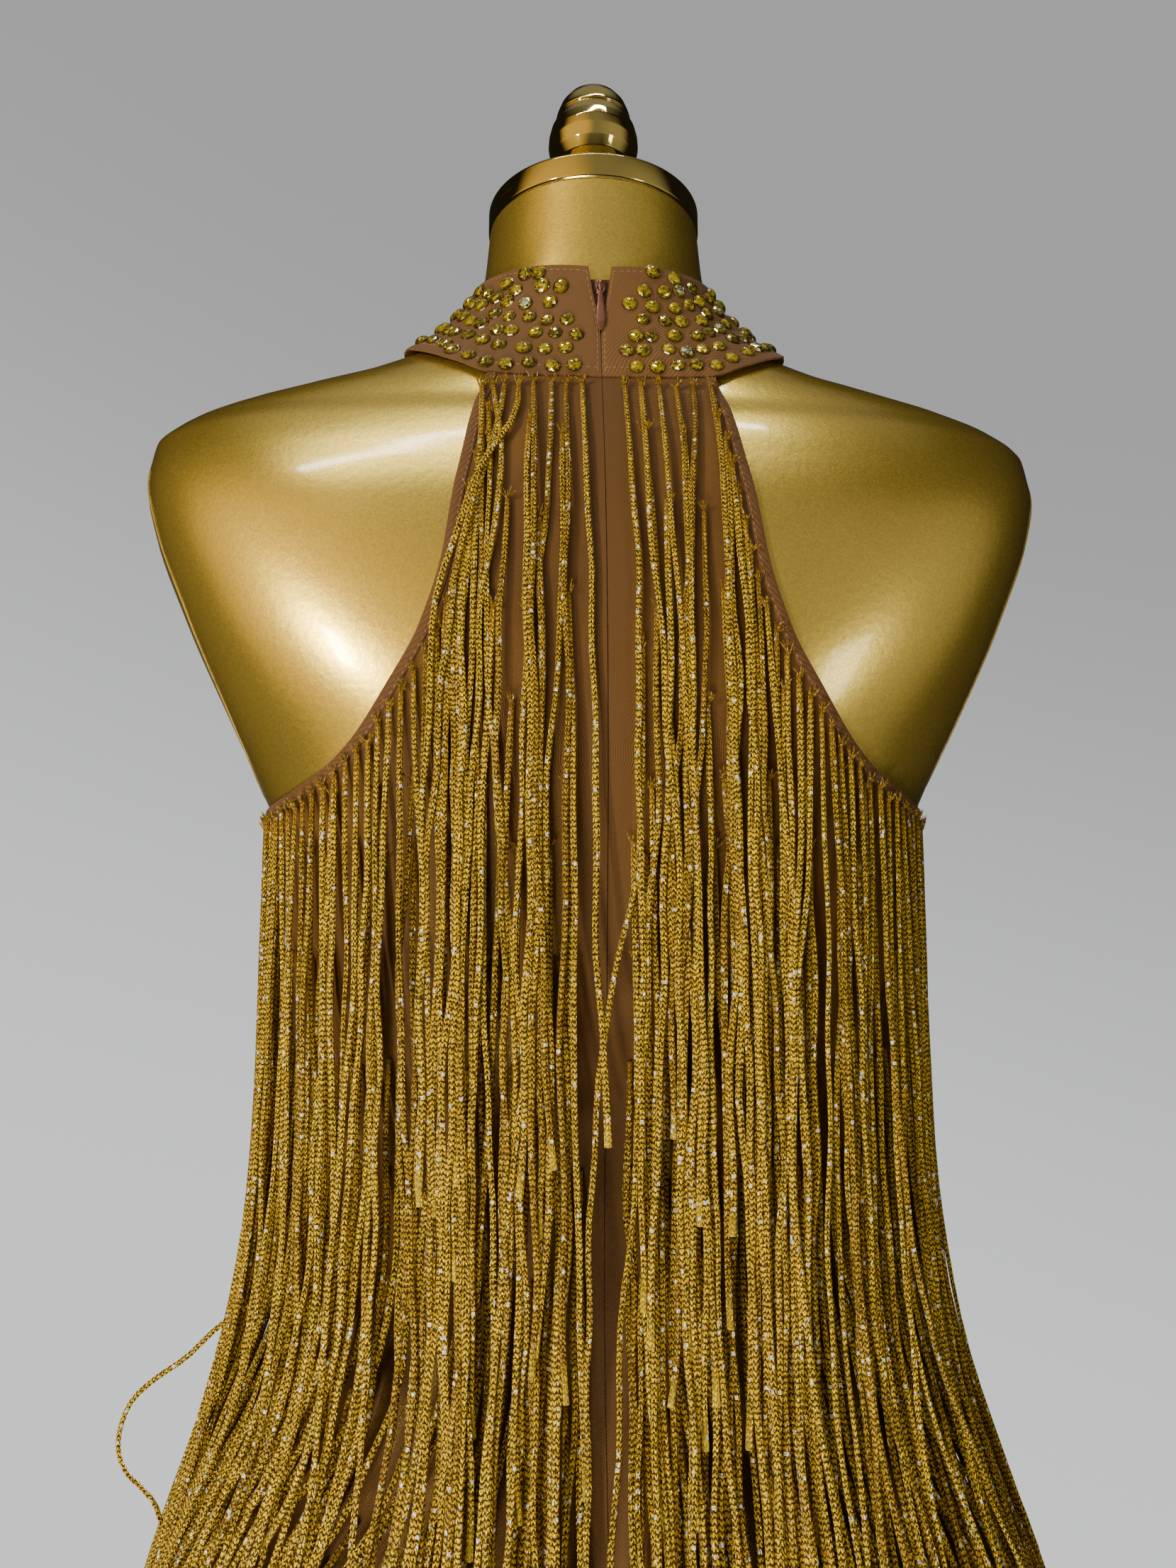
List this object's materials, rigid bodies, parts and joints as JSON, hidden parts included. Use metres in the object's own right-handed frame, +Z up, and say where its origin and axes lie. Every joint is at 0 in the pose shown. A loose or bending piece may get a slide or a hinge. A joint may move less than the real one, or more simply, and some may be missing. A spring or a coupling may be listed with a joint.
{
  "type": "tassel dress on a dress form",
  "caption": "Halter-neck mesh dress covered in long gold chainette fringe, with a beaded collar, worn by a limbless dress form on a pole and round base.",
  "frame": {"origin": "middle of the underside of the form's round base, on the surface it stands on", "axes": "+Z up along the form's pole; the back of the garment faces -Y and its front +Y; +X is the wearer's right"},
  "size_m": [0.405, 0.38, 1.584],
  "materials": {
    "stretch_mesh": "brown sheer power mesh",
    "beaded_band": "brown mesh band set with olive gold rhinestones",
    "zip_tape": "brown woven tape",
    "zip_metal": "copper-brown enamelled metal",
    "chainette": "gold chainette fringe with metallic glints",
    "gold_lacquer": "pearl gold lacquer on a moulded form",
    "gold_plate": "polished gold plating"
  },
  "bodies": {
    "dress_on_form": {"front_panel": "stretch_mesh", "back_panel_left": "stretch_mesh", "back_panel_right": "stretch_mesh", "collar": "beaded_band", "zip_tape": "zip_tape", "zip_slider": "zip_metal", "fringe_row_1": "chainette", "fringe_row_2": "chainette", "fringe_row_3": "chainette", "fringe_collar_left": "chainette", "fringe_collar_right": "chainette", "fringe_collar_front": "chainette", "fringe_armhole_back_left": "chainette", "fringe_armhole_back_right": "chainette", "fringe_armhole_front_left": "chainette", "fringe_armhole_front_right": "chainette", "form_body": "gold_lacquer", "neck_cap": "gold_plate", "finial": "gold_plate", "pole_flange": "gold_plate", "pole": "gold_plate", "base_socket": "gold_plate", "base_plate": "gold_plate"},
    "zip_pull": {"zip_pull": "zip_metal"}
  },
  "joints": [
    {"name": "zip_pull_hinge", "type": "hinge", "parent": "dress_on_form", "child": "zip_pull", "pos_m": [0, -0.05924, 1.448], "axis": [-1, 0, 0], "range_deg": [0, 150]}
  ]
}
